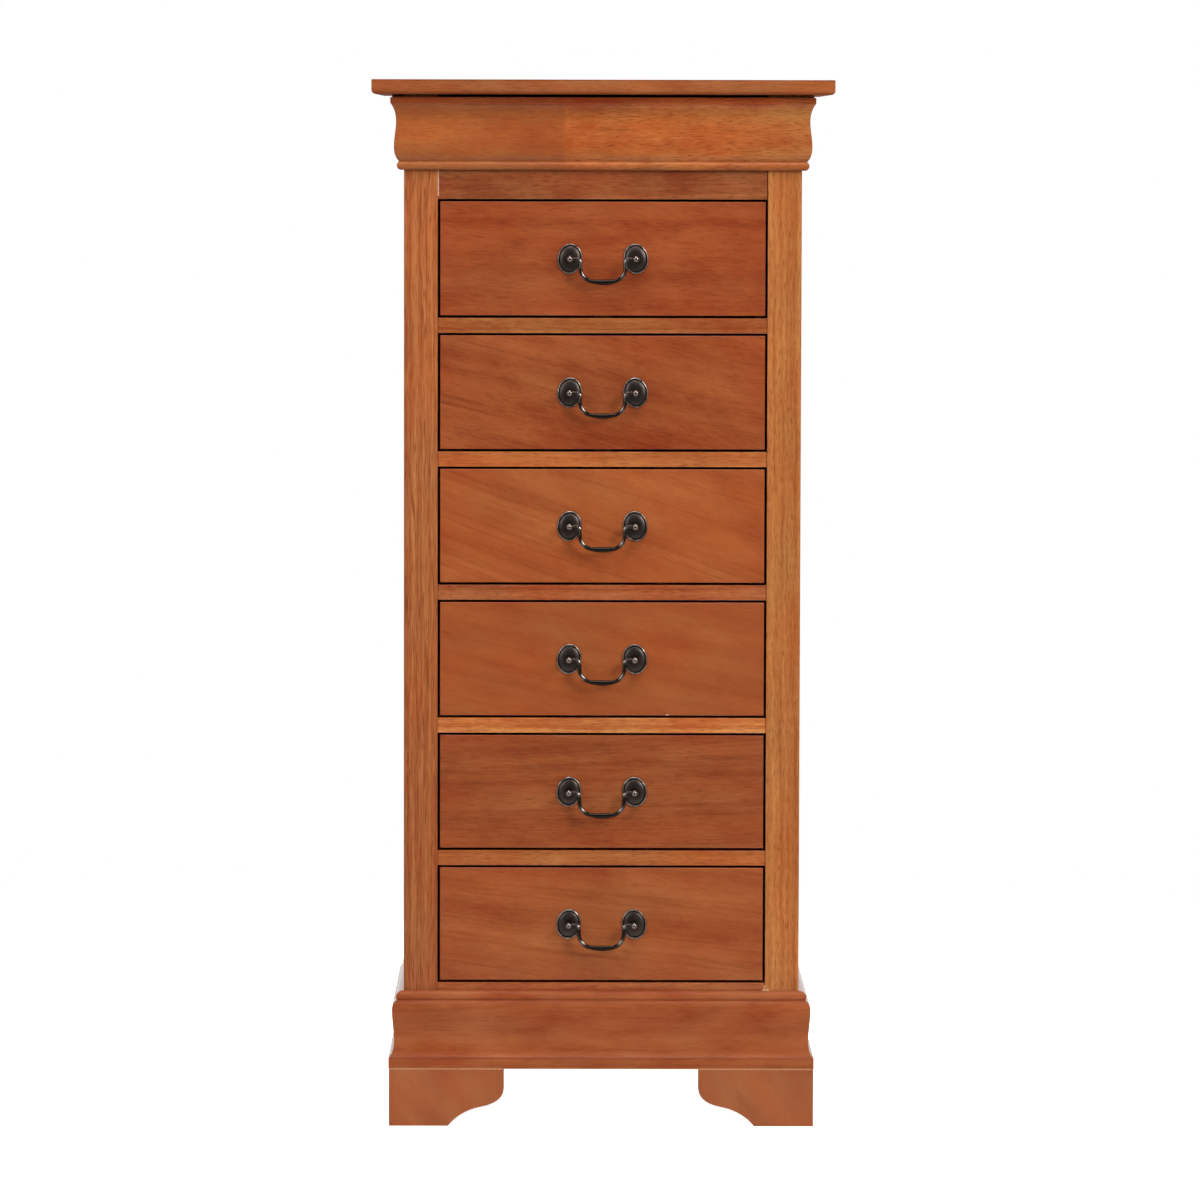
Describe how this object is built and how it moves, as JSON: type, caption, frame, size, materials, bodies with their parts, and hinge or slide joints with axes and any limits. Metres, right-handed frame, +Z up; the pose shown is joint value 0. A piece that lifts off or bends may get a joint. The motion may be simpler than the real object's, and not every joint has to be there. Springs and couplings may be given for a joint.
{
  "type": "chest of drawers",
  "caption": "Tall narrow chest of drawers on bracket feet, with inset drawer fronts, swinging bail pulls, an ogee base and a hidden drawer behind the crown moulding.",
  "frame": {"origin": "on the floor, under the middle of the top's outline", "axes": "+Z up, the drawers open towards -Y, +X to the right as seen from the front"},
  "size_m": [0.5656, 0.4048, 1.2888],
  "materials": {
    "stained_cherry": "red-brown stained wood under a satin lacquer",
    "drawer_birch": "clear sealed pale hardwood",
    "plywood": "unpolished plywood",
    "antique_bronze": "dark antiqued brass, rubbed bright on its high edges",
    "nylon": "moulded brown nylon",
    "zinc_steel": "zinc plated"
  },
  "bodies": {
    "case": {"top_panel": "stained_cherry", "crown_left": "stained_cherry", "crown_right": "stained_cherry", "post_left": "stained_cherry", "post_right": "stained_cherry", "top_rail": "stained_cherry", "drawer_rails": "stained_cherry", "side_panel_left": "stained_cherry", "side_panel_right": "stained_cherry", "back_panel": "plywood", "back_screws": "zinc_steel", "case_floor": "plywood", "base_front": "stained_cherry", "base_left": "stained_cherry", "base_right": "stained_cherry", "foot_front_left": "stained_cherry", "foot_front_right": "stained_cherry", "foot_back_left": "stained_cherry", "foot_back_right": "stained_cherry", "centre_rails": "drawer_birch", "glide_tacks": "nylon"},
    "drawer_1": {"drawer_1_front": "stained_cherry", "drawer_1_box": "drawer_birch", "drawer_1_bottom": "plywood", "drawer_1_pull_plates": "antique_bronze", "drawer_1_pull_posts": "antique_bronze"},
    "bail_1": {"drawer_1_bail": "antique_bronze"},
    "drawer_2": {"drawer_2_front": "stained_cherry", "drawer_2_box": "drawer_birch", "drawer_2_bottom": "plywood", "drawer_2_pull_plates": "antique_bronze", "drawer_2_pull_posts": "antique_bronze"},
    "bail_2": {"drawer_2_bail": "antique_bronze"},
    "drawer_3": {"drawer_3_front": "stained_cherry", "drawer_3_box": "drawer_birch", "drawer_3_bottom": "plywood", "drawer_3_pull_plates": "antique_bronze", "drawer_3_pull_posts": "antique_bronze"},
    "bail_3": {"drawer_3_bail": "antique_bronze"},
    "drawer_4": {"drawer_4_front": "stained_cherry", "drawer_4_box": "drawer_birch", "drawer_4_bottom": "plywood", "drawer_4_pull_plates": "antique_bronze", "drawer_4_pull_posts": "antique_bronze"},
    "bail_4": {"drawer_4_bail": "antique_bronze"},
    "drawer_5": {"drawer_5_front": "stained_cherry", "drawer_5_box": "drawer_birch", "drawer_5_bottom": "plywood", "drawer_5_pull_plates": "antique_bronze", "drawer_5_pull_posts": "antique_bronze"},
    "bail_5": {"drawer_5_bail": "antique_bronze"},
    "drawer_6": {"drawer_6_front": "stained_cherry", "drawer_6_box": "drawer_birch", "drawer_6_bottom": "plywood", "drawer_6_pull_plates": "antique_bronze", "drawer_6_pull_posts": "antique_bronze"},
    "bail_6": {"drawer_6_bail": "antique_bronze"},
    "crown_drawer": {"crown_front": "stained_cherry", "crown_drawer_box": "drawer_birch", "crown_drawer_bottom": "plywood"}
  },
  "joints": [
    {"name": "drawer_1_slide", "type": "slide", "parent": "case", "child": "drawer_1", "axis": [0, -1, 0], "range_m": [0, 0.26]},
    {"name": "bail_1_swing", "type": "hinge", "parent": "drawer_1", "child": "bail_1", "pos_m": [0, -0.1776, 1.07015], "axis": [-1, 0, 0], "range_deg": [-20.3, 156.7]},
    {"name": "drawer_2_slide", "type": "slide", "parent": "case", "child": "drawer_2", "axis": [0, -1, 0], "range_m": [0, 0.26]},
    {"name": "bail_2_swing", "type": "hinge", "parent": "drawer_2", "child": "bail_2", "pos_m": [0, -0.1776, 0.90595], "axis": [-1, 0, 0], "range_deg": [-20.3, 156.7]},
    {"name": "drawer_3_slide", "type": "slide", "parent": "case", "child": "drawer_3", "axis": [0, -1, 0], "range_m": [0, 0.26]},
    {"name": "bail_3_swing", "type": "hinge", "parent": "drawer_3", "child": "bail_3", "pos_m": [0, -0.1776, 0.74175], "axis": [-1, 0, 0], "range_deg": [-20.3, 156.7]},
    {"name": "drawer_4_slide", "type": "slide", "parent": "case", "child": "drawer_4", "axis": [0, -1, 0], "range_m": [0, 0.26]},
    {"name": "bail_4_swing", "type": "hinge", "parent": "drawer_4", "child": "bail_4", "pos_m": [0, -0.1776, 0.57755], "axis": [-1, 0, 0], "range_deg": [-20.3, 156.7]},
    {"name": "drawer_5_slide", "type": "slide", "parent": "case", "child": "drawer_5", "axis": [0, -1, 0], "range_m": [0, 0.26]},
    {"name": "bail_5_swing", "type": "hinge", "parent": "drawer_5", "child": "bail_5", "pos_m": [0, -0.1776, 0.41335], "axis": [-1, 0, 0], "range_deg": [-20.3, 156.7]},
    {"name": "drawer_6_slide", "type": "slide", "parent": "case", "child": "drawer_6", "axis": [0, -1, 0], "range_m": [0, 0.26]},
    {"name": "bail_6_swing", "type": "hinge", "parent": "drawer_6", "child": "bail_6", "pos_m": [0, -0.1776, 0.24915], "axis": [-1, 0, 0], "range_deg": [-20.3, 156.7]},
    {"name": "crown_drawer_slide", "type": "slide", "parent": "case", "child": "crown_drawer", "axis": [0, -1, 0], "range_m": [0, 0.24]}
  ]
}
